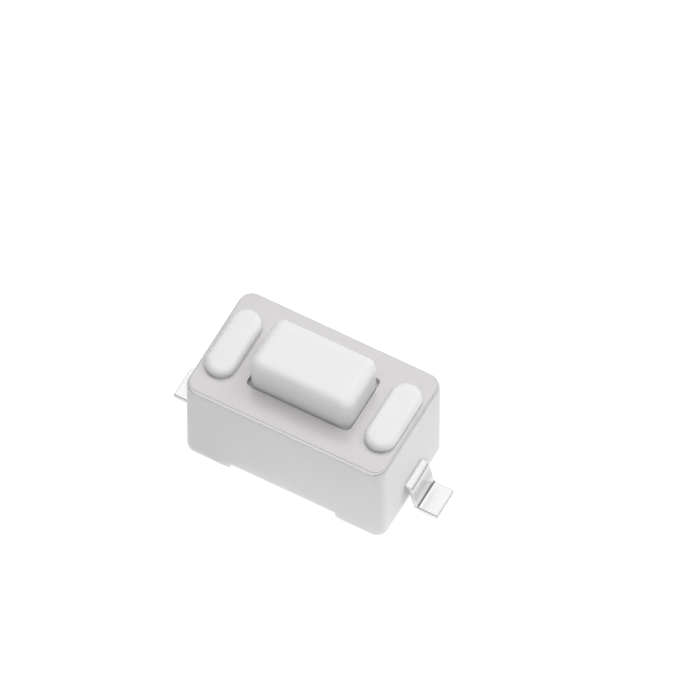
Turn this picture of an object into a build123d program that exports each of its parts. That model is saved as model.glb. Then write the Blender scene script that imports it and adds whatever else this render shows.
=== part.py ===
from build123d import *
import os

# A surface-mount pushbutton of the small rectangular kind. A white moulded housing holds two stamped
# terminals, a snap dome and a long button. A thin steel cover keeps the button in, and two rivet heads,
# formed from posts of the housing itself, keep the cover on.
#
# Millimetres. The board is the plane z = 0 and the origin is under the middle of the housing.
# X runs along the housing, from one terminal to the other, and Z points out of the button.

# Housing
housing_length = 6.1
housing_width = 3.5
housing_height = 3.05
housing_corner_radius = 0.34
housing_top_round = 0.02
housing_bottom_round = 0.07
end_wall = 1.1
side_wall = 0.45
cavity_corner_radius = 0.3
floor_skin = 0.1
dome_well_depth = 0.6

# Underside of the housing, with a foot at each end and mould pockets behind the contacts
foot_length = 1.44
foot_height = 0.25
pocket_length = 1.05
pocket_width = 0.5
pocket_pitch = 1.22

# Rivet heads
post_inset = 0.61
post_length = 2.08
post_width = 0.56
head_lap = 0.12
head_height = 0.28
head_top_round = 0.15
head_under_round = 0.07

# Cover plate
cover_end_inset = 0.05
cover_side_inset = 0.01
cover_thickness = 0.15
cover_corner_radius = 0.36
cover_edge_round = 0.06
slot_clearance = 0.02

# Terminals, stamped from one thickness of strip
strip_thickness = 0.15
strip_level = 0.85
strip_width = 0.7
stamping_radius = 0.08
lead_width = 0.95
lead_projection = 0.99
lead_shoulder = 0.17
lead_foot_length = 0.65
lead_bend_radius = 0.2
neck_length = 0.45
bridge_width = 0.55
arm_width = 0.75
contact_reach = 0.62

# Contacts, raised by coining from the strips
centre_contact_diameter = 0.5
centre_contact_height = 0.03
centre_well_diameter = 0.9
rim_contact_diameter = 0.32

# Snap dome
dome_clearance = 0.05
dome_thickness = 0.06
dome_rise = 0.18
dome_land = 0.1

# Button
button_length = 3.1
button_width = 1.8
button_projection = 1.1
button_corner_radius = 0.33
button_top_round = 0.3
window_clearance = 0.03
window_corner_radius = 0.15
flange_clearance = 0.12
flange_thickness = 0.45
flange_play = 0.02
stem_length = 1.8
stem_width = 1.3
tip_diameter = 0.9
tip_height = 0.35
tip_play = 0.01

# Levels and places that follow from the sizes above
housing_end = housing_length / 2
cavity_length = housing_length - 2 * end_wall
cavity_width = housing_width - 2 * side_wall
recess_length = housing_length - 2 * foot_length
strip_top = strip_level + strip_thickness
floor_level = strip_top + floor_skin
ledge_level = floor_level + dome_well_depth
cover_level = housing_height + cover_thickness
post_x = housing_end - post_inset
dome_radius = cavity_width / 2 - dome_clearance
rim_contact_y = dome_radius - dome_land / 2 - rim_contact_diameter / 4
dome_top = floor_level + dome_rise + dome_thickness
flange_top = housing_height - flange_play
flange_bottom = flange_top - flange_thickness
tip_bottom = dome_top + tip_play
both_ends = [(-post_x, 0), (post_x, 0)]


def lead_outline(side):
    """The bent lead seen from the front, as a sketch: out of the housing, down, and out along the board."""
    middle = strip_thickness / 2
    shoulder_x = housing_end + lead_shoulder
    heel_x = housing_end + lead_projection - lead_foot_length
    tip_x = housing_end + lead_projection
    with BuildSketch(Plane.XZ) as outline:
        with BuildLine():
            FilletPolyline(
                (side * (housing_end - neck_length), strip_level + middle),
                (side * shoulder_x, strip_level + middle),
                (side * heel_x, middle),
                (side * tip_x, middle),
                radius=lead_bend_radius,
            )
        trace(line_width=strip_thickness)
    return outline.sketch


# Terminal that carries the centre contact, out of the left end
with BuildPart() as terminal_centre:
    extrude(lead_outline(-1), amount=lead_width / 2, both=True)
    with BuildSketch(Plane.XY.offset(strip_level)) as centre_strip:
        strip_run = housing_end - neck_length + contact_reach + stamping_radius
        with Locations((contact_reach - strip_run / 2, 0)):
            Rectangle(strip_run, strip_width)
        fillet(centre_strip.vertices().group_by(Axis.X)[-1], stamping_radius)
    extrude(amount=strip_thickness)
    with BuildSketch(Plane.XY.offset(strip_top)):
        Circle(centre_contact_diameter / 2)
    extrude(amount=centre_contact_height)
terminal_centre.part.label = "terminal_centre"

# Terminal that carries the two rim contacts on a fork, out of the right end
with BuildPart() as terminal_rim:
    extrude(lead_outline(1), amount=lead_width / 2, both=True)
    with BuildSketch(Plane.XY.offset(strip_level)) as fork:
        bridge_x = housing_end - neck_length - bridge_width / 2
        arm_run = bridge_x + bridge_width / 2 + contact_reach
        with Locations((bridge_x, 0)):
            Rectangle(bridge_width, 2 * rim_contact_y + arm_width)
        with Locations(
            (arm_run / 2 - contact_reach, -rim_contact_y),
            (arm_run / 2 - contact_reach, rim_contact_y),
        ):
            Rectangle(arm_run, arm_width)
        fillet(fork.vertices(), stamping_radius)
    extrude(amount=strip_thickness)
    with BuildSketch(Plane.XY.offset(strip_top)):
        with Locations((0, -rim_contact_y), (0, rim_contact_y)):
            Circle(rim_contact_diameter / 2)
    extrude(amount=floor_skin)
terminal_rim.part.label = "terminal_rim"

# Rivet head, pressed hot out of a post of the housing into the shape of a pillow
with BuildPart() as rivet_head:
    with BuildSketch(Plane.XY.offset(cover_level)):
        SlotOverall(post_length + 2 * head_lap, post_width + 2 * head_lap, rotation=90)
    extrude(amount=head_height)
    fillet(rivet_head.edges().group_by(Axis.Z)[-1], head_top_round)
    fillet(rivet_head.edges().group_by(Axis.Z)[0], head_under_round)

# Housing, moulded round both terminals
with BuildPart() as housing:
    with BuildSketch():
        RectangleRounded(housing_length, housing_width, housing_corner_radius)
    extrude(amount=housing_height)
    with BuildSketch():
        Rectangle(recess_length, housing_width)
    extrude(amount=foot_height, mode=Mode.SUBTRACT)
    fillet(housing.faces().filter_by(Plane.XY).group_by(Axis.Z)[0].edges(), housing_bottom_round)
    fillet(housing.faces().sort_by(Axis.Z)[-1].edges(), housing_top_round)
    with BuildSketch(Plane.XY.offset(foot_height)):
        with GridLocations(0, pocket_pitch, 1, 3):
            Rectangle(pocket_length, pocket_width)
    extrude(amount=strip_level - foot_height, mode=Mode.SUBTRACT)
    with BuildSketch(Plane.XY.offset(ledge_level)):
        RectangleRounded(cavity_length, cavity_width, cavity_corner_radius)
    extrude(amount=housing_height - ledge_level, mode=Mode.SUBTRACT)
    with BuildSketch(Plane.XY.offset(floor_level)):
        Circle(dome_radius + dome_clearance)
    extrude(amount=dome_well_depth, mode=Mode.SUBTRACT)
    with BuildSketch(Plane.XY.offset(strip_top)):
        Circle(centre_well_diameter / 2)
    extrude(amount=floor_skin, mode=Mode.SUBTRACT)
    with BuildSketch(Plane.XY.offset(housing_height)):
        with Locations(both_ends):
            SlotOverall(post_length, post_width, rotation=90)
    extrude(amount=cover_thickness)
    with Locations(both_ends):
        add(rivet_head.part)
    add(terminal_centre.part, mode=Mode.SUBTRACT)
    add(terminal_rim.part, mode=Mode.SUBTRACT)
housing.part.label = "housing"

# Cover plate, punched from sheet, with its rounded punch edge upwards
with BuildPart() as cover_plate:
    with BuildSketch(Plane.XY.offset(housing_height)):
        RectangleRounded(
            housing_length - 2 * cover_end_inset,
            housing_width - 2 * cover_side_inset,
            cover_corner_radius,
        )
    extrude(amount=cover_thickness)
    fillet(cover_plate.faces().sort_by(Axis.Z)[-1].edges(), cover_edge_round)
    with BuildSketch(Plane.XY.offset(housing_height)):
        RectangleRounded(
            button_length + 2 * window_clearance,
            button_width + 2 * window_clearance,
            window_corner_radius,
        )
        with Locations(both_ends):
            SlotOverall(post_length + 2 * slot_clearance, post_width + 2 * slot_clearance, rotation=90)
    extrude(amount=cover_thickness, mode=Mode.SUBTRACT)
cover_plate.part.label = "cover_plate"

# Snap dome, a thin disc with a flat land at its rim
with BuildPart() as contact_dome:
    with BuildSketch(Plane.XZ):
        with BuildLine():
            land_edge = dome_radius - dome_land
            sphere_radius = (land_edge**2 + dome_rise**2) / (2 * dome_rise)
            crown = RadiusArc((0, floor_level + dome_rise), (land_edge, floor_level), sphere_radius)
            Line(crown @ 1, (dome_radius, floor_level))
            offset(amount=dome_thickness, side=Side.LEFT)
        make_face()
    revolve(axis=Axis.Z)
contact_dome.part.label = "contact_dome"

# Button, with the flange that the cover holds down and the stem that presses the dome
with BuildPart() as button:
    with BuildSketch(Plane.XY.offset(flange_top)):
        RectangleRounded(button_length, button_width, button_corner_radius)
    extrude(amount=cover_level + button_projection - flange_top)
    fillet(button.faces().sort_by(Axis.Z)[-1].edges(), button_top_round)
    with BuildSketch(Plane.XY.offset(flange_bottom)):
        RectangleRounded(
            cavity_length - 2 * flange_clearance,
            cavity_width - 2 * flange_clearance,
            cavity_corner_radius,
        )
    extrude(amount=flange_thickness)
    with BuildSketch(Plane.XY.offset(tip_bottom + tip_height)):
        Rectangle(stem_length, stem_width)
    extrude(amount=flange_bottom - tip_bottom - tip_height)
    with BuildSketch(Plane.XY.offset(tip_bottom)):
        Circle(tip_diameter / 2)
    extrude(amount=tip_height)
button.part.label = "button"

# Files, one for each piece
os.makedirs("parts", exist_ok=True)
for piece in (housing, cover_plate, terminal_centre, terminal_rim, contact_dome, button):
    export_step(piece.part, f"parts/{piece.part.label}.step")
    print(piece.part.label, round(piece.part.volume, 3))
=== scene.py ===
# %% [markdown]
# # A small pushbutton for a circuit board
# The switch is a white nylon box of six by three and a half millimetres. A thin steel cover lies on top,
# a long white button comes up through it, and a bent lead leaves each short end. The measured model is
# loaded first, and every piece below is made in its place, with Z out of the button. Sizes are written
# in millimetres, as on a drawing, and `MM` turns them to the metres that the model is in.

# %% Load the measured model
import math

import bmesh
import bpy
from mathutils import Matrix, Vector


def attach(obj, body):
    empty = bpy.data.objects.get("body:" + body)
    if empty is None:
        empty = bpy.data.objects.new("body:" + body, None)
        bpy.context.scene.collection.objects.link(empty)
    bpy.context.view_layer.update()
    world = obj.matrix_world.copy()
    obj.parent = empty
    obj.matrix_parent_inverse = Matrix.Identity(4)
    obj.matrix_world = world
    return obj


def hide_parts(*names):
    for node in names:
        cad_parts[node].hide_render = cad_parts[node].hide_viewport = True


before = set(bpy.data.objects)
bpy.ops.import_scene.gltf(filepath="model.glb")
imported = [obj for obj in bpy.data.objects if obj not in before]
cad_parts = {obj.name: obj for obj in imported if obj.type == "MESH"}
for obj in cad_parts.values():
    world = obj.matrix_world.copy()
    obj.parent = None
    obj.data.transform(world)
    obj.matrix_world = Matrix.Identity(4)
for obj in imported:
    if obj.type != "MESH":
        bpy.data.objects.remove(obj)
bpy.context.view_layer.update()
MM = 0.001

# %% [markdown]
# ## Tools for picking
# An operator acts on all that is selected, so each step first says what it works on. Faces and edges are
# picked by where they are, as one would click them: `pick` clears the selection in edit mode and selects
# the edges or faces whose corners pass a test.

# %% Picking faces and edges by place
X, Y, Z = 0, 1, 2


def alone(piece):
    """Make this piece the only selected object, and the active one."""
    bpy.ops.object.select_all(action="DESELECT")
    piece.select_set(True)
    bpy.context.view_layer.objects.active = piece


def pick(kind, test):
    """In edit mode, select only the edges or faces whose corners, in millimetres, pass the test."""
    mesh = bmesh.from_edit_mesh(bpy.context.object.data)
    bpy.ops.mesh.select_mode(type={"edges": "EDGE", "faces": "FACE"}[kind])
    bpy.ops.mesh.select_all(action="DESELECT")
    found = 0
    for part in getattr(mesh, kind):
        if test([v.co / MM for v in part.verts]):
            part.select_set(True)
            found += 1
    bmesh.update_edit_mesh(bpy.context.object.data)
    return found


def at(value, axis, corners, slack=0.002):
    """True if every corner lies in the plane where the axis has this value."""
    return all(abs(c[axis] - value) < slack for c in corners)


# %% [markdown]
# ## A block with round corners
# The housing, the cover, the button and the rivet heads all have the same plan: a rectangle with round
# corners. It could be drawn as a curve and extruded. A cube with its four upright edges bevelled is
# quicker, and keeps the flat faces whole, so that they stay easy to pick. Where two round corners meet
# they leave a sliver between them, so points that nearly touch are merged at the end.

# %% The block
SLIVER = 0.005


def rounded_block(name, size, low, high, radius, segments=10, centre=(0, 0)):
    """A cube set to its size in millimetres, with its four upright edges rounded."""
    bpy.ops.object.select_all(action="DESELECT")
    middle = (centre[X] * MM, centre[Y] * MM, (low + high) / 2 * MM)
    bpy.ops.mesh.primitive_cube_add(size=1, location=middle)
    block = bpy.context.object
    block.name = name
    block.scale = (size[X] * MM, size[Y] * MM, (high - low) * MM)
    bpy.ops.object.transform_apply(location=True, rotation=True, scale=True)
    bpy.ops.object.mode_set(mode="EDIT")
    pick("edges", lambda c: abs(c[0][Z] - c[1][Z]) > (high - low) / 2)
    bpy.ops.mesh.bevel(offset=radius * MM, segments=segments, affect="EDGES", clamp_overlap=False)
    bpy.ops.mesh.select_all(action="SELECT")
    bpy.ops.mesh.remove_doubles(threshold=SLIVER * MM)
    bpy.ops.object.mode_set(mode="OBJECT")
    return block


def round_edges(piece, test, radius, segments):
    """Bevel the edges that pass the test, with a round profile."""
    alone(piece)
    bpy.ops.object.mode_set(mode="EDIT")
    found = pick("edges", test)
    bpy.ops.mesh.bevel(offset=radius * MM, segments=segments, affect="EDGES", clamp_overlap=False)
    bpy.ops.object.mode_set(mode="OBJECT")
    print(piece.name, "edges rounded:", found)


# %% [markdown]
# ## Cutting and fusing
# A cavity is what the steel core of a mould leaves behind. So each hollow is modelled as its core, a
# solid of its own, and taken away with a Boolean modifier, which is then applied. A core or a punch
# stands out a little past what it cuts, so that no two faces lie in one plane.

# %% The Boolean step
OVERLAP = 0.1


def combine(piece, tool, operation):
    """Cut the tool out of the piece, or fuse it to the piece, and delete the tool."""
    alone(piece)
    step = piece.modifiers.new("combine", "BOOLEAN")
    step.operation = operation
    step.solver = "EXACT"
    step.object = tool
    bpy.ops.object.modifier_apply(modifier=step.name)
    bpy.data.objects.remove(tool, do_unlink=True)


# %% [markdown]
# ## The housing
# It is one moulding of heat-resistant nylon, which survives the solder oven. It stands on a foot at each
# end, with a shallow recess between them. The block starts at the roof of that recess, its bottom face is
# cut in three, and the two end faces are pulled down to make the feet.

# %% Housing block and feet
HOUSING_SIZE = (6.1, 3.5)
HOUSING_TOP = 3.05
HOUSING_CORNER = 0.34
RECESS_ROOF = 0.25
FOOT_X = 1.61
FOOT_ROUND, TOP_ROUND = 0.07, 0.01
CUT_SLACK = 1e-7
housing = rounded_block("housing_moulding", HOUSING_SIZE, RECESS_ROOF, HOUSING_TOP, HOUSING_CORNER)
alone(housing)
bpy.ops.object.mode_set(mode="EDIT")
for cut in (-FOOT_X, FOOT_X):
    pick("faces", lambda c: at(RECESS_ROOF, Z, c))
    bpy.ops.mesh.bisect(plane_co=(cut * MM, 0, 0), plane_no=(1, 0, 0), threshold=CUT_SLACK)
feet = pick("faces", lambda c: at(RECESS_ROOF, Z, c) and abs(sum(v[X] for v in c)) / len(c) > FOOT_X)
bpy.ops.mesh.extrude_region_move(TRANSFORM_OT_translate={"value": (0, 0, -RECESS_ROOF * MM)})
bpy.ops.object.mode_set(mode="OBJECT")
print("feet:", feet)
round_edges(housing, lambda c: at(0, Z, c), FOOT_ROUND, segments=4)
round_edges(housing, lambda c: at(HOUSING_TOP, Z, c), TOP_ROUND, segments=2)

# %% [markdown]
# The cavity has two steps. The wide upper one takes the flange of the button, and the round well below it
# holds the snap dome, with a smaller well round the middle contact. Three pockets come up from below,
# where pins of the mould held the metal strips.

# %% Cavity and pockets
LEDGE, FLOOR, STRIP_TOP, STRIP_BOTTOM = 1.7, 1.1, 1.0, 0.85
CAVITY_SIZE, CAVITY_CORNER = (3.9, 2.6), 0.3
DOME_WELL_RADIUS, CONTACT_WELL_RADIUS = 1.3, 0.45
POCKET_SIZE, POCKET_CORNER, POCKET_PITCH = (1.05, 0.5), 0.03, 1.22
core = rounded_block("flange_core", CAVITY_SIZE, LEDGE, HOUSING_TOP + OVERLAP, CAVITY_CORNER)
combine(housing, core, "DIFFERENCE")
for radius, low, high in ((DOME_WELL_RADIUS, FLOOR, LEDGE), (CONTACT_WELL_RADIUS, STRIP_TOP, FLOOR)):
    bpy.ops.object.select_all(action="DESELECT")
    bpy.ops.mesh.primitive_cylinder_add(
        vertices=48,
        radius=radius * MM,
        depth=(high + OVERLAP - low) * MM,
        location=(0, 0, (low + high + OVERLAP) / 2 * MM),
    )
    combine(housing, bpy.context.object, "DIFFERENCE")
pin_low = RECESS_ROOF - OVERLAP
for y in (-POCKET_PITCH, 0, POCKET_PITCH):
    pin = rounded_block(
        "mould_pin", POCKET_SIZE, pin_low, STRIP_BOTTOM, POCKET_CORNER, segments=2, centre=(0, y)
    )
    combine(housing, pin, "DIFFERENCE")
print("housing faces", len(housing.data.polygons))

# %% [markdown]
# Two posts of the housing come up through slots in the cover, and are pressed hot into flat, pillow-like
# heads that hold it down. A head is the same rounded block, as round as it is wide, with its upper edge
# bevelled far in. It is fused to its post first, so that its lower edge can then be rounded a little
# without touching the post, and then to the housing, because all of it is one piece.

# %% Rivet posts and heads
COVER_TOP = 3.2
POST_X = 2.44
POST_SIZE, POST_ROOT = (0.56, 2.08), 0.3
HEAD_SIZE, HEAD_TOP = (0.9, 2.28), 3.48
HEAD_ROUND, HEAD_LOWER_ROUND = 0.2, 0.03
END_GAP = 0.001
POST_SPINE = (POST_SIZE[Y] - POST_SIZE[X]) / 2
PAST_POST = 0.34


def round_ended_block(name, size, low, high, x, segments=10):
    """A block whose two ends are half circles. Each corner stops just short of the middle of its end."""
    return rounded_block(name, size, low, high, size[X] / 2 - END_GAP, segments, centre=(x, 0))


def outside_post(corner):
    """True if this corner lies on the outline of a head, and not on that of its post."""
    return math.hypot(abs(corner[X]) - POST_X, max(abs(corner[Y]) - POST_SPINE, 0)) > PAST_POST


for x in (-POST_X, POST_X):
    head = round_ended_block("rivet_head", HEAD_SIZE, COVER_TOP, HEAD_TOP, x, segments=14)
    round_edges(head, lambda c: at(HEAD_TOP, Z, c), HEAD_ROUND, segments=10)
    post = round_ended_block("rivet_post", POST_SIZE, HOUSING_TOP - POST_ROOT, COVER_TOP + OVERLAP, x)
    combine(head, post, "UNION")
    round_edges(
        head, lambda c: at(COVER_TOP, Z, c) and all(map(outside_post, c)), HEAD_LOWER_ROUND, segments=3
    )
    combine(housing, head, "UNION")
print("housing with heads, faces", len(housing.data.polygons))

# %% [markdown]
# ## The cover
# It is punched from thin stainless sheet. Punching rounds the edge on the side where the punch goes in,
# and that side is up. The outline is a thin rounded block, and the window and the slots are cut out with
# their punches.

# %% Cover plate
COVER_SIZE, COVER_CORNER, COVER_ROUND = (6.0, 3.5), 0.36, 0.06
WINDOW_SIZE, WINDOW_CORNER = (3.16, 1.86), 0.15
SLOT_SIZE = (0.6, 2.12)
PUNCH_LOW, PUNCH_HIGH = HOUSING_TOP - OVERLAP, COVER_TOP + OVERLAP
cover = rounded_block("cover_sheet", COVER_SIZE, HOUSING_TOP, COVER_TOP, COVER_CORNER)
round_edges(cover, lambda c: at(COVER_TOP, Z, c), COVER_ROUND, segments=5)
window = rounded_block("window_punch", WINDOW_SIZE, PUNCH_LOW, PUNCH_HIGH, WINDOW_CORNER)
combine(cover, window, "DIFFERENCE")
for x in (-POST_X, POST_X):
    combine(cover, round_ended_block("slot_punch", SLOT_SIZE, PUNCH_LOW, PUNCH_HIGH, x), "DIFFERENCE")
print("cover faces", len(cover.data.polygons))

# %% [markdown]
# ## The button
# The button is moulded too. Its top edge is so round that it takes a good part of the height above the
# cover. Below the cover a flange keeps it in, and a stem with a small round tip reaches down to the dome.
# Flange and stem are pulled out of the bottom face, step by step, and the tip is a cylinder fused on.

# %% Button
BUTTON_SIZE, BUTTON_CORNER = (3.1, 1.8), 0.33
BUTTON_TOP, BUTTON_ROUND = 4.3, 0.3
FLANGE_SIZE, STEM_SIZE = (3.66, 2.36), (1.8, 1.3)
FLANGE_TOP, FLANGE_BOTTOM, STEM_BOTTOM, TIP_BOTTOM = 3.03, 2.58, 1.7, 1.35
TIP_RADIUS, TIP_LENGTH, TIP_ROUND = 0.45, 0.4, 0.05
button = rounded_block("button_moulding", BUTTON_SIZE, FLANGE_TOP, BUTTON_TOP, BUTTON_CORNER, segments=12)
round_edges(button, lambda c: at(BUTTON_TOP, Z, c), BUTTON_ROUND, segments=12)


def widen_and_pull(from_size, to_size, drop):
    """Turn the selected bottom face into one of another size, and pull it down."""
    factor = (to_size[X] / from_size[X], to_size[Y] / from_size[Y], 1)
    bpy.ops.mesh.extrude_region_move(TRANSFORM_OT_translate={"value": (0, 0, 0)})
    bpy.ops.transform.resize(value=factor, center_override=(0, 0, 0))
    bpy.ops.mesh.extrude_region_move(TRANSFORM_OT_translate={"value": (0, 0, -drop * MM)})


alone(button)
bpy.ops.object.mode_set(mode="EDIT")
pick("faces", lambda c: at(FLANGE_TOP, Z, c))
widen_and_pull(BUTTON_SIZE, FLANGE_SIZE, FLANGE_TOP - FLANGE_BOTTOM)
widen_and_pull(FLANGE_SIZE, STEM_SIZE, FLANGE_BOTTOM - STEM_BOTTOM)
bpy.ops.object.mode_set(mode="OBJECT")

bpy.ops.object.select_all(action="DESELECT")
tip_middle = TIP_BOTTOM + TIP_LENGTH / 2
bpy.ops.mesh.primitive_cylinder_add(
    vertices=32, radius=TIP_RADIUS * MM, depth=TIP_LENGTH * MM, location=(0, 0, tip_middle * MM)
)
tip = bpy.context.object
tip.name = "stem_tip"
bpy.ops.object.transform_apply(location=True, rotation=True, scale=True)
round_edges(tip, lambda c: at(TIP_BOTTOM, Z, c), TIP_ROUND, segments=3)
combine(button, tip, "UNION")
print("button faces", len(button.data.polygons))

# %% [markdown]
# ## The leads
# Each terminal is one strip, stamped and bent. It is modelled as the toolmaker sees it: a flat sheet of
# no thickness, pulled edge by edge out of a short neck that sits in the end wall, first out of the
# housing, then down, and then out along the board. The two bends are bevelled into arcs.

# %% The bent strip
LEAD_HALF = 0.475
STRIP_MIDDLE = 0.925
STRIP_THICKNESS = 0.15
NECK_X, WALL_X, SHOULDER_X, HEEL_X, TIP_X = 2.6, 3.05, 3.22, 3.39, 4.04
BEND_REACH = 0.164


def pull(test, x=0, y=0, z=0):
    """Extrude the edges that pass the test by this many millimetres."""
    pick("edges", test)
    bpy.ops.mesh.extrude_edges_move(TRANSFORM_OT_translate={"value": (x * MM, y * MM, z * MM)})


def neck_and_lead(name, side):
    """The neck, pulled out of the housing, down and out along the board, left in edit mode."""
    bpy.ops.object.select_all(action="DESELECT")
    neck_middle = side * (NECK_X + WALL_X) / 2
    bpy.ops.mesh.primitive_plane_add(size=1, location=(neck_middle * MM, 0, STRIP_MIDDLE * MM))
    strip = bpy.context.object
    strip.name = name
    strip.scale = ((WALL_X - NECK_X) * MM, 2 * LEAD_HALF * MM, 1)
    bpy.ops.object.transform_apply(location=True, rotation=True, scale=True)
    bpy.ops.object.mode_set(mode="EDIT")
    drop = STRIP_THICKNESS / 2 - STRIP_MIDDLE
    pull(lambda c: at(side * WALL_X, X, c), x=side * (SHOULDER_X - WALL_X))
    pull(lambda c: at(side * SHOULDER_X, X, c), x=side * (HEEL_X - SHOULDER_X), z=drop)
    pull(lambda c: at(side * HEEL_X, X, c), x=side * (TIP_X - HEEL_X))
    pick("edges", lambda c: at(side * SHOULDER_X, X, c) or at(side * HEEL_X, X, c))
    bpy.ops.mesh.bevel(offset=BEND_REACH * MM, segments=12, affect="EDGES", clamp_overlap=False)
    return strip


# %% [markdown]
# A Solidify modifier gives the strip its thickness, half to each side, and a Bevel modifier breaks its
# sheared edges. The contacts are coined, which raises a low round button out of the strip. They are short
# cylinders, sunk a little into the strip and fused to it.

# %% Thickness, edges and contacts
SHEAR_ROUND, CONTACT_ROUND = 0.03, 0.02
SHEARED_ANGLE = 1.0
CONTACT_ROOT = 0.05


def thicken(strip, contacts):
    """Give the strip its thickness and its sheared edges, and coin the round contacts out of it."""
    bpy.ops.mesh.select_all(action="SELECT")
    bpy.ops.mesh.normals_make_consistent(inside=False)
    bpy.ops.object.mode_set(mode="OBJECT")
    alone(strip)
    sheet = strip.modifiers.new("sheet", "SOLIDIFY")
    sheet.thickness, sheet.offset, sheet.use_even_offset = STRIP_THICKNESS * MM, 0, True
    edge = strip.modifiers.new("edge", "BEVEL")
    edge.width, edge.segments = SHEAR_ROUND * MM, 3
    edge.limit_method, edge.angle_limit = "ANGLE", SHEARED_ANGLE
    for step in (sheet, edge):
        bpy.ops.object.modifier_apply(modifier=step.name)
    for y, radius, height in contacts:
        bpy.ops.object.select_all(action="DESELECT")
        bpy.ops.mesh.primitive_cylinder_add(
            vertices=24,
            radius=radius * MM,
            depth=(height + CONTACT_ROOT) * MM,
            location=(0, y * MM, (STRIP_TOP + (height - CONTACT_ROOT) / 2) * MM),
        )
        contact = bpy.context.object
        contact.name = "contact"
        bpy.ops.object.transform_apply(location=True, rotation=True, scale=True)
        round_edges(contact, lambda c: at(STRIP_TOP + height, Z, c), CONTACT_ROUND, segments=2)
        combine(strip, contact, "UNION")


# %% [markdown]
# The left terminal runs in under the middle of the dome. The right one splits into a fork: a bridge
# across the end of the neck, and from it two arms that run under the rim of the dome, one on each side of
# the middle strip. A contact is given by its place across the switch, its radius and its height.

# %% Both terminals
CONTACT_REACH = 0.62
STRIP_HALF = 0.35
BRIDGE_X = 2.05
ARM_INNER, ARM_WIDTH = 0.745, 0.75
EDGE_SLACK = 0.01
CENTRE_CONTACT = (0, 0.25, 0.03)
RIM_CONTACTS = ((-1.12, 0.16, 0.1), (1.12, 0.16, 0.1))


def on_bridge(corners):
    """True for an edge that lies along the bridge of the fork."""
    return all(BRIDGE_X - EDGE_SLACK < v[X] < NECK_X + EDGE_SLACK for v in corners)


lead_left = neck_and_lead("lead_left", -1)
for y in (-STRIP_HALF, STRIP_HALF):
    bpy.ops.mesh.select_all(action="SELECT")
    bpy.ops.mesh.bisect(plane_co=(0, y * MM, 0), plane_no=(0, 1, 0), threshold=CUT_SLACK)
pull(
    lambda c: at(-NECK_X, X, c) and all(abs(v[Y]) < STRIP_HALF + EDGE_SLACK for v in c),
    x=NECK_X + CONTACT_REACH,
)
thicken(lead_left, [CENTRE_CONTACT])

lead_right = neck_and_lead("lead_right", 1)
pull(lambda c: at(NECK_X, X, c), x=BRIDGE_X - NECK_X)
for y in (-1, 1):
    pull(lambda c: on_bridge(c) and at(y * LEAD_HALF, Y, c), y=y * (ARM_INNER - LEAD_HALF))
    pull(lambda c: on_bridge(c) and at(y * ARM_INNER, Y, c), y=y * ARM_WIDTH)
    pull(
        lambda c: at(BRIDGE_X, X, c) and all(y * v[Y] > ARM_INNER - EDGE_SLACK for v in c),
        x=-BRIDGE_X - CONTACT_REACH,
    )
thicken(lead_right, RIM_CONTACTS)
print("terminal faces", len(lead_left.data.polygons), len(lead_right.data.polygons))

# %% [markdown]
# ## Smooth shading
# A bevelled corner is still made of flat strips. Smooth shading blends the light over them, and the sharp
# edges are kept wherever two faces meet at more than thirty degrees. A Weighted Normal modifier then
# gives the large faces the last word, so that a flat wall stays flat right up to its rounded edge.

# %% Shading
SHARP_ANGLE = math.radians(30)
PIECES = (housing, cover, button, lead_left, lead_right)
for piece in PIECES:
    alone(piece)
    bpy.ops.object.mode_set(mode="EDIT")
    bpy.ops.mesh.select_all(action="SELECT")
    bpy.ops.mesh.normals_make_consistent(inside=False)
    bpy.ops.object.mode_set(mode="OBJECT")
    bpy.ops.object.shade_smooth_by_angle(angle=SHARP_ANGLE)
    even = piece.modifiers.new("even", "WEIGHTED_NORMAL")
    even.keep_sharp = True
    bpy.ops.object.modifier_apply(modifier=even.name)
    print("shaded", piece.name)

# %% [markdown]
# ## Tools for materials
# A material is a small network of nodes. `add_node` adds one, sets its options, and fills or links its
# inputs, so that each material below reads as a list of what it is made of. Colours are written as on the
# screen, in hex, and turned to the linear values that the renderer works with. The scale of a pattern is
# worked out from the size that it has on the real surface.


# %% Adding a node, a colour and a pattern's scale
def linear(hex_colour):
    """sRGB hex to linear RGBA."""
    values = [int(hex_colour[i : i + 2], 16) / 255 for i in (1, 3, 5)]
    return [v / 12.92 if v <= 0.04045 else ((v + 0.055) / 1.055) ** 2.4 for v in values] + [1]


def every(size):
    """The scale of a texture whose pattern is this many millimetres wide."""
    return 1 / (size * MM)


def add_node(holder, kind, inputs=None, **options):
    """Add a node to a material or world. An input is given a value, or an output socket to link from."""
    tree = holder.node_tree
    made = tree.nodes.new(kind)
    for option, value in options.items():
        setattr(made, option, value)
    for name, value in (inputs or {}).items():
        if isinstance(value, bpy.types.NodeSocket):
            tree.links.new(value, made.inputs[name])
        else:
            made.inputs[name].default_value = value
    return made


def new_material(name):
    """An empty material, with its Principled shader and the place that textures are read from."""
    material = bpy.data.materials.new(name)
    material.use_nodes = True
    shader = material.node_tree.nodes["Principled BSDF"]
    place = add_node(material, "ShaderNodeTexCoord").outputs["Object"]
    return material, shader, place


# %% [markdown]
# ## Moulded nylon
# The plastic is a white, mineral-filled nylon. Light goes a little way into it before it comes back, which
# softens the edges and lightens thin places, so it gets some subsurface scattering. It flowed into the
# mould in faint clouds. A spark-eroded mould leaves a very fine grain of about 0.03 mm, which gives the
# eye a soft, even sheen. That is one pixel here, so it is drawn at 0.06 mm.

# %% White nylon
FLOW_SIZE = 1.5
GRAIN_SIZE, GRAIN_HEIGHT = 0.06, 0.004
GLOSS_SPREAD = 0.06


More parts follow.
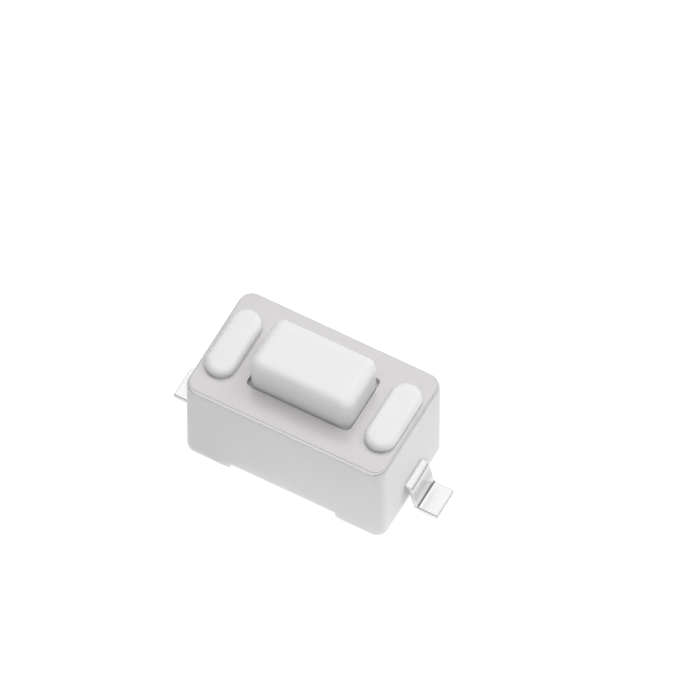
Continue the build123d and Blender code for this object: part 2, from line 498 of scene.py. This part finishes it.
def moulded_nylon(name, light, dark, roughness, grain, depth):
    """White nylon between two close colours, with cloudy flow marks and a fine grain."""
    material, shader, place = new_material(name)
    flow = add_node(
        material, "ShaderNodeTexNoise", {"Vector": place, "Scale": every(FLOW_SIZE), "Detail": 3.0}
    )
    tint = add_node(material, "ShaderNodeMix", {"Factor": flow.outputs["Fac"]}, data_type="RGBA")
    tint.inputs[6].default_value = linear(dark)
    tint.inputs[7].default_value = linear(light)
    erosion = add_node(
        material, "ShaderNodeTexNoise", {"Vector": place, "Scale": every(GRAIN_SIZE), "Detail": 2.0}
    )
    low, high = roughness - GLOSS_SPREAD, roughness + GLOSS_SPREAD
    gloss = add_node(
        material, "ShaderNodeMapRange", {"Value": erosion.outputs["Fac"], "To Min": low, "To Max": high}
    )
    bump = add_node(
        material,
        "ShaderNodeBump",
        {"Height": erosion.outputs["Fac"], "Strength": grain, "Distance": GRAIN_HEIGHT * MM},
    )
    links = material.node_tree.links
    links.new(tint.outputs[2], shader.inputs["Base Color"])
    links.new(gloss.outputs["Result"], shader.inputs["Roughness"])
    links.new(bump.outputs["Normal"], shader.inputs["Normal"])
    shader.inputs["IOR"].default_value = 1.53
    shader.inputs["Subsurface Weight"].default_value = 1.0
    shader.inputs["Subsurface Radius"].default_value = (1.0, 1.0, 1.0)
    shader.inputs["Subsurface Scale"].default_value = depth * MM
    print(name, "nodes", len(material.node_tree.nodes))
    return material


housing_nylon = moulded_nylon(
    "housing_nylon_moulded", light="#f4f4f4", dark="#f0f0f0", roughness=0.5, grain=0.35, depth=0.15
)
button_nylon = moulded_nylon(
    "button_nylon_moulded", light="#f8f8f8", dark="#f4f4f4", roughness=0.42, grain=0.25, depth=0.1
)

# %% [markdown]
# ## Rolled stainless steel
# The cover is cold-rolled sheet with a matt finish. Rolling leaves fine lines along the strip, which is
# the length of the cover, and a faint mottle. The lines are about 0.02 mm apart, drawn here at 0.04 mm.
# They change how sharp the reflection is and stand up as a very low bump.

# %% Colour and rolling lines of the sheet
LINE_PITCH, LINE_STRETCH, LINE_HEIGHT = 0.04, 25, 0.002
MOTTLE_SIZE = 0.8
SATIN = (0.17, 0.27)
sheet_steel, shader, place = new_material("stainless_sheet_rolled")
rolled = add_node(sheet_steel, "ShaderNodeMapping", {"Vector": place, "Scale": (1 / LINE_STRETCH, 1.0, 1.0)})
lines = add_node(
    sheet_steel,
    "ShaderNodeTexNoise",
    {"Vector": rolled.outputs["Vector"], "Scale": every(LINE_PITCH), "Detail": 2.0},
)
mottle = add_node(
    sheet_steel, "ShaderNodeTexNoise", {"Vector": place, "Scale": every(MOTTLE_SIZE), "Detail": 4.0}
)
tone = add_node(sheet_steel, "ShaderNodeMix", {"Factor": mottle.outputs["Fac"]}, data_type="RGBA")
tone.inputs[6].default_value = linear("#d8d5d6")
tone.inputs[7].default_value = linear("#dddadb")
satin = add_node(
    sheet_steel,
    "ShaderNodeMapRange",
    {"Value": lines.outputs["Fac"], "To Min": SATIN[0], "To Max": SATIN[1]},
)
scratch = add_node(
    sheet_steel,
    "ShaderNodeBump",
    {"Height": lines.outputs["Fac"], "Strength": 0.25, "Distance": LINE_HEIGHT * MM},
)
links = sheet_steel.node_tree.links
links.new(tone.outputs[2], shader.inputs["Base Color"])
links.new(scratch.outputs["Normal"], shader.inputs["Normal"])
print(sheet_steel.name, "colours and lines, nodes", len(sheet_steel.node_tree.nodes))

# %% [markdown]
# The flat of the sheet is matt: it scatters most of the light, as a dull film would, and mirrors the
# rest. The punch has rubbed the rolled-over edges bright, so that they mirror everything and read as
# thin dark and light lines. What is burnished is told by the height, from just under the top face down.

# %% Matt flat and burnished edges
BURNISH_START, BURNISH_FULL = 0.002, 0.015
FLAT_METALLIC, EDGE_METALLIC = 0.35, 1.0
EDGE_ROUGHNESS = 0.12
height = add_node(sheet_steel, "ShaderNodeSeparateXYZ", {"Vector": place})
burnish = add_node(
    sheet_steel,
    "ShaderNodeMapRange",
    {
        "Value": height.outputs["Z"],
        "From Min": (COVER_TOP - BURNISH_FULL) * MM,
        "From Max": (COVER_TOP - BURNISH_START) * MM,
        "To Min": 1.0,
        "To Max": 0.0,
    },
).outputs["Result"]
polish = add_node(
    sheet_steel,
    "ShaderNodeMapRange",
    {"Value": burnish, "To Min": satin.outputs["Result"], "To Max": EDGE_ROUGHNESS},
)
sheen = add_node(
    sheet_steel,
    "ShaderNodeMapRange",
    {"Value": burnish, "To Min": FLAT_METALLIC, "To Max": EDGE_METALLIC},
)
links.new(polish.outputs["Result"], shader.inputs["Roughness"])
links.new(sheen.outputs["Result"], shader.inputs["Metallic"])
print(sheet_steel.name, "with its edges, nodes", len(sheet_steel.node_tree.nodes))

# %% [markdown]
# ## Bright plating
# The strip is brass with a bright silver-coloured plating, so that solder wets it. It mirrors what is
# around it, blurred a little, and forming has left shallow waves of about half a millimetre in it.

# %% Plated brass
WAVE_SIZE, WAVE_HEIGHT = 0.5, 0.01
BLUR = (0.2, 0.3)
plating, shader, place = new_material("plated_brass_bright")
waves = add_node(plating, "ShaderNodeTexNoise", {"Vector": place, "Scale": every(WAVE_SIZE), "Detail": 2.0})
tone = add_node(plating, "ShaderNodeMix", {"Factor": waves.outputs["Fac"]}, data_type="RGBA")
tone.inputs[6].default_value = linear("#f7f7f7")
tone.inputs[7].default_value = linear("#fbfbfb")
blur = add_node(
    plating, "ShaderNodeMapRange", {"Value": waves.outputs["Fac"], "To Min": BLUR[0], "To Max": BLUR[1]}
)
forming = add_node(
    plating,
    "ShaderNodeBump",
    {"Height": waves.outputs["Fac"], "Strength": 0.5, "Distance": WAVE_HEIGHT * MM},
)
links = plating.node_tree.links
links.new(blur.outputs["Result"], shader.inputs["Roughness"])
links.new(forming.outputs["Normal"], shader.inputs["Normal"])
shader.inputs["Metallic"].default_value = 1.0
print(plating.name, "nodes", len(plating.node_tree.nodes))

# %% [markdown]
# The plating is drawn darker in places. The darker slope of the lead and the dark line in the inner bend
# are painted shade, the thin dark line along the upper edge of each side is a painted reflection, and the
# cut end face is drawn a little darker. Each of these is a soft patch. Its first numbers are a distance
# from the middle of the switch, outward or sideways, and how far the patch spreads from there. The next two
# are a height above the board and how far it spreads, and the last says how dark it is. A distance from the
# middle has no sign, so both leads get the same patches.

# %% Painted shade and a darker end on the leads
along = add_node(plating, "ShaderNodeSeparateXYZ", {"Vector": place})
outward = add_node(plating, "ShaderNodeMath", {0: along.outputs["X"]}, operation="ABSOLUTE").outputs["Value"]
aside = add_node(plating, "ShaderNodeMath", {0: along.outputs["Y"]}, operation="ABSOLUTE").outputs["Value"]


def dark_band(socket, middle, half_width):
    """One in the middle of the band, fading to nothing at its two sides."""
    offset = add_node(plating, "ShaderNodeMath", {0: socket, 1: middle * MM}, operation="SUBTRACT")
    spread = add_node(plating, "ShaderNodeMath", {0: offset.outputs["Value"]}, operation="ABSOLUTE")
    return add_node(
        plating,
        "ShaderNodeMapRange",
        {"Value": spread.outputs["Value"], "From Max": half_width * MM, "To Min": 1.0, "To Max": 0.0},
        interpolation_type="SMOOTHSTEP",
    ).outputs["Result"]


def dark_patch(socket, reach, half_reach, level, half_level, amount):
    """Darkening of this amount where a band of distances from the middle and a band of heights meet."""
    across = dark_band(socket, reach, half_reach)
    upright = dark_band(along.outputs["Z"], level, half_level)
    both = add_node(plating, "ShaderNodeMath", {0: across, 1: upright}, operation="MULTIPLY")
    part = add_node(plating, "ShaderNodeMath", {0: both.outputs["Value"], 1: amount}, operation="MULTIPLY")
    return part.outputs["Value"]


# Painted shade: a dark line in the inner bend, and a darker slope where the lead mirrors dim surroundings.
PAINTED_CREASE_SHADE = (outward, 3.455, 0.05, 0.205, 0.06, 1.0)
PAINTED_SLOPE_SHADE = (outward, 3.35, 0.4, 0.6, 0.5, 0.42)
SHEARED_END = (outward, TIP_X, 0.05, 0.075, 0.5, 0.3)
# A thin dark line of painted reflection along the upper edge of each side.
PAINTED_EDGE_LINE = (aside, LEAD_HALF, 0.035, 0.14, 0.035, 0.9)
darkening = 0.0
for patch in (PAINTED_CREASE_SHADE, PAINTED_SLOPE_SHADE, SHEARED_END, PAINTED_EDGE_LINE):
    darkening = add_node(
        plating, "ShaderNodeMath", {0: darkening, 1: dark_patch(*patch)}, operation="MAXIMUM"
    ).outputs["Value"]
# The dark colour that the painted shade, the painted edge line and the darker cut end blend towards.
darkened = add_node(plating, "ShaderNodeMix", {"Factor": darkening}, data_type="RGBA")
darkened.inputs[7].default_value = linear("#7c7a76")
links.new(tone.outputs[2], darkened.inputs[6])
links.new(darkened.outputs[2], shader.inputs["Base Color"])
print(plating.name, "with its tarnish, nodes", len(plating.node_tree.nodes))

# %% [markdown]
# ## Putting the pieces in place
# Each piece takes its material, stands for its solid in the measured model, and rides on the body that
# carries it. The button is the only one that moves. The snap dome is hidden inside, so the measured solid
# stays, in steel.

# %% Materials and bodies
for piece, material, slot, node, body in (
    (housing, housing_nylon, "housing_plastic", "housing", "switch_base"),
    (cover, sheet_steel, "cover_steel", "cover_plate", "switch_base"),
    (button, button_nylon, "button_plastic", "button", "button"),
    (lead_left, plating, "plated_brass", "terminal_centre", "switch_base"),
    (lead_right, plating, "plated_brass", "terminal_rim", "switch_base"),
):
    piece.data.materials.clear()
    piece.data.materials.append(material)
    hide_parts(node)
    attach(piece, body)
    print(piece.name, "stands for", node, "on", body)
for node_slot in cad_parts["contact_dome"].material_slots:
    node_slot.material = sheet_steel

# %% [markdown]
# ## The floor
# The switch stands on white paper. The colour of the paper is drawn first, with faint fibres of about two
# millimetres and no gloss at all.

# %% White paper
FLOOR_SIZE = 400
FIBRE_SIZE = 2
bpy.ops.object.select_all(action="DESELECT")
bpy.ops.mesh.primitive_plane_add(size=FLOOR_SIZE * MM, location=(0, 0, 0))
floor = bpy.context.object
floor.name = "floor"
paper, shader, place = new_material("white_paper")
fibres = add_node(paper, "ShaderNodeTexNoise", {"Vector": place, "Scale": every(FIBRE_SIZE), "Detail": 3.0})
tone = add_node(paper, "ShaderNodeMix", {"Factor": fibres.outputs["Fac"]}, data_type="RGBA")
tone.inputs[6].default_value = linear("#fafafa")
tone.inputs[7].default_value = linear("#fcfcfc")
paper.node_tree.links.new(tone.outputs[2], shader.inputs["Base Color"])
shader.inputs["Roughness"].default_value = 0.9
shader.inputs["Specular IOR Level"].default_value = 0.0
floor.data.materials.append(paper)
print(floor.name, "side in mm", FLOOR_SIZE)

# %% [markdown]
# The photograph shows pure white round the switch, which a white floor alone doesn't reach. So part of
# the paper's colour is light of its own, and the rest still takes the shadow: two thirds of what the
# camera sees directly, and less of what a mirror or a glass shows of it. The dull walls of the switch are
# lit from below by the bright paper round it. For them the paper glows near the switch and fades further
# off.

# %% The paper's own light
CAMERA_SHARE, REFLECTED_SHARE, PAPER_LEVEL = 0.66, 0.3, 1.3
GLOW_SHARE, GLOW_NEAR, GLOW_FAR = 0.92, 5, 40
ray = add_node(paper, "ShaderNodeLightPath")
reflected = add_node(
    paper,
    "ShaderNodeMath",
    {0: ray.outputs["Is Glossy Ray"], 1: ray.outputs["Is Transmission Ray"]},
    operation="MAXIMUM",
)
away = add_node(paper, "ShaderNodeVectorMath", {0: place}, operation="LENGTH")
glow = add_node(
    paper,
    "ShaderNodeMapRange",
    {
        "Value": away.outputs["Value"],
        "From Min": GLOW_NEAR * MM,
        "From Max": GLOW_FAR * MM,
        "To Min": GLOW_SHARE,
        "To Max": 0.0,
    },
    interpolation_type="SMOOTHSTEP",
)
share = 0.0
for seen_by, amount in (
    (ray.outputs["Is Diffuse Ray"], glow.outputs["Result"]),
    (reflected.outputs["Value"], REFLECTED_SHARE),
    (ray.outputs["Is Camera Ray"], CAMERA_SHARE),
):
    share = add_node(
        paper, "ShaderNodeMath", {0: seen_by, 1: amount, 2: share}, operation="MULTIPLY_ADD"
    ).outputs["Value"]
white = add_node(paper, "ShaderNodeEmission", {"Color": (1, 1, 1, 1), "Strength": PAPER_LEVEL})
mixed = add_node(
    paper, "ShaderNodeMixShader", {0: share, 1: shader.outputs["BSDF"], 2: white.outputs["Emission"]}
)
output = paper.node_tree.nodes["Material Output"]
paper.node_tree.links.new(mixed.outputs["Shader"], output.inputs["Surface"])
print(paper.name, "nodes", len(paper.node_tree.nodes))

# %% [markdown]
# ## The light
# The light is soft and comes from all round, as in a white tent. The tent is the world, and its
# brightness depends on the height that a ray points to, from 0 at the horizon to 1 straight up. Dull
# surfaces are lit mostly from the roof. What the switch mirrors is brighter lower down, and a little
# darker at the front than at the sides and the back, which gives the bent leads their light and dark
# lines. The camera itself sees plain white.

# %% Brightness of the tent
TENT = {
    "light": {"heights": (0.2, 1.0), "levels": (0.0, 1.08)},
    "front_shine": {"heights": (0.05, 0.55), "levels": (0.15, 1.0)},
    "side_shine": {"heights": (0.05, 0.5), "levels": (0.35, 1.0)},
}
world = bpy.data.worlds.new("white_tent")
world.use_nodes = True
bpy.context.scene.world = world
where = add_node(world, "ShaderNodeTexCoord")
split = add_node(world, "ShaderNodeSeparateXYZ", {"Vector": where.outputs["Generated"]})
tent = {}
for name, row in TENT.items():
    tent[name] = add_node(
        world,
        "ShaderNodeMapRange",
        {
            "Value": split.outputs["Z"],
            "From Min": row["heights"][0],
            "From Max": row["heights"][1],
            "To Min": row["levels"][0],
            "To Max": row["levels"][1],
        },
        interpolation_type="SMOOTHSTEP",
    ).outputs["Result"]
print("tent", list(tent))

# %% [markdown]
# The kind of ray now picks one of these. A mirrored ray gets the shine of the front or of the sides,
# blended over the corners of the tent, but only if no dull surface sent it on. All others get the light.

# %% What each kind of ray sees
FRONT_BLEND = (0.3, -0.4)
ray = add_node(world, "ShaderNodeLightPath")
mirrored = add_node(
    world,
    "ShaderNodeMath",
    {0: ray.outputs["Is Glossy Ray"], 1: ray.outputs["Is Transmission Ray"]},
    operation="MAXIMUM",
)
direct = add_node(
    world, "ShaderNodeMath", {0: ray.outputs["Diffuse Depth"], 1: 0.5}, operation="LESS_THAN"
)
mirrored = add_node(
    world,
    "ShaderNodeMath",
    {0: mirrored.outputs["Value"], 1: direct.outputs["Value"]},
    operation="MULTIPLY",
)
front = add_node(
    world,
    "ShaderNodeMapRange",
    {"Value": split.outputs["Y"], "From Min": FRONT_BLEND[0], "From Max": FRONT_BLEND[1]},
    interpolation_type="SMOOTHSTEP",
)
shine = add_node(
    world,
    "ShaderNodeMapRange",
    {"Value": front.outputs["Result"], "To Min": tent["side_shine"], "To Max": tent["front_shine"]},
)
level = add_node(
    world,
    "ShaderNodeMapRange",
    {"Value": mirrored.outputs["Value"], "To Min": tent["light"], "To Max": shine.outputs["Result"]},
)
level = add_node(
    world,
    "ShaderNodeMath",
    {0: level.outputs["Result"], 1: ray.outputs["Is Camera Ray"]},
    operation="MAXIMUM",
)
sky = world.node_tree.nodes["Background"]
sky.inputs["Color"].default_value = (1, 1, 1, 1)
world.node_tree.links.new(level.outputs["Value"], sky.inputs["Strength"])
print(world.name, "nodes", len(world.node_tree.nodes))

# %% [markdown]
# One large lamp stands above the switch, behind it and to its right. It adds the bright tops and the
# bright right end, and leaves the long front wall and the front of the button a little darker. Mirrored
# rays don't see it, because in the photograph no lamp shows in the metal.


# %% Lamp
def lamp(name, direction, distance, size, level):
    """A square lamp that adds this much to the brightness of a white surface that faces it."""
    data = bpy.data.lights.new(name, "AREA")
    data.size = size * MM
    data.energy = level * (math.pi * distance * MM) ** 2
    made = bpy.data.objects.new(name, data)
    made.location = Vector(direction).normalized() * distance * MM
    made.rotation_euler = Vector(direction).to_track_quat("Z", "Y").to_euler()
    made.visible_glossy = False
    bpy.context.collection.objects.link(made)
    print(name, "power in watts", round(data.energy, 4))


lamp("lamp_above", direction=(0.45, 0.45, 1.0), distance=120, size=100, level=0.39)

# %% [markdown]
# ## The camera
# The photograph looks down at 58 degrees, from 29 degrees to the right of the front, with a long lens that
# keeps parallel edges parallel. The middle of the cover is seen at `cover_pixel`, a little left of the
# middle of the picture and below it, so the camera aims past the switch by that much.

# %% Camera
AZIMUTH, ELEVATION = math.radians(28.6), math.radians(58.0)
PIXELS_PER_MM = 37.35
PICTURE = 700
LENS, SENSOR = 1000, 36
cover_middle = Vector((0, 0, COVER_TOP))
cover_pixel = (313.4, 382.2)
back = Vector(
    (
        math.sin(AZIMUTH) * math.cos(ELEVATION),
        -math.cos(AZIMUTH) * math.cos(ELEVATION),
        math.sin(ELEVATION),
    )
)
right = Vector((math.cos(AZIMUTH), math.sin(AZIMUTH), 0))
up = back.cross(right)
aim = (
    cover_middle
    + right * (PICTURE / 2 - cover_pixel[X]) / PIXELS_PER_MM
    + up * (cover_pixel[Y] - PICTURE / 2) / PIXELS_PER_MM
)
distance = LENS / SENSOR * PICTURE / PIXELS_PER_MM
lens = bpy.data.cameras.new("camera")
lens.lens, lens.sensor_width = LENS, SENSOR
lens.clip_start, lens.clip_end = 1 * MM, 5
camera = bpy.data.objects.new("camera", lens)
camera.location = (aim + back * distance) * MM
camera.rotation_euler = (math.pi / 2 - ELEVATION, 0, AZIMUTH)
bpy.context.collection.objects.link(camera)
bpy.context.scene.camera = camera
bpy.context.scene.view_settings.view_transform = "Standard"
print("camera distance in mm", round(distance, 1))
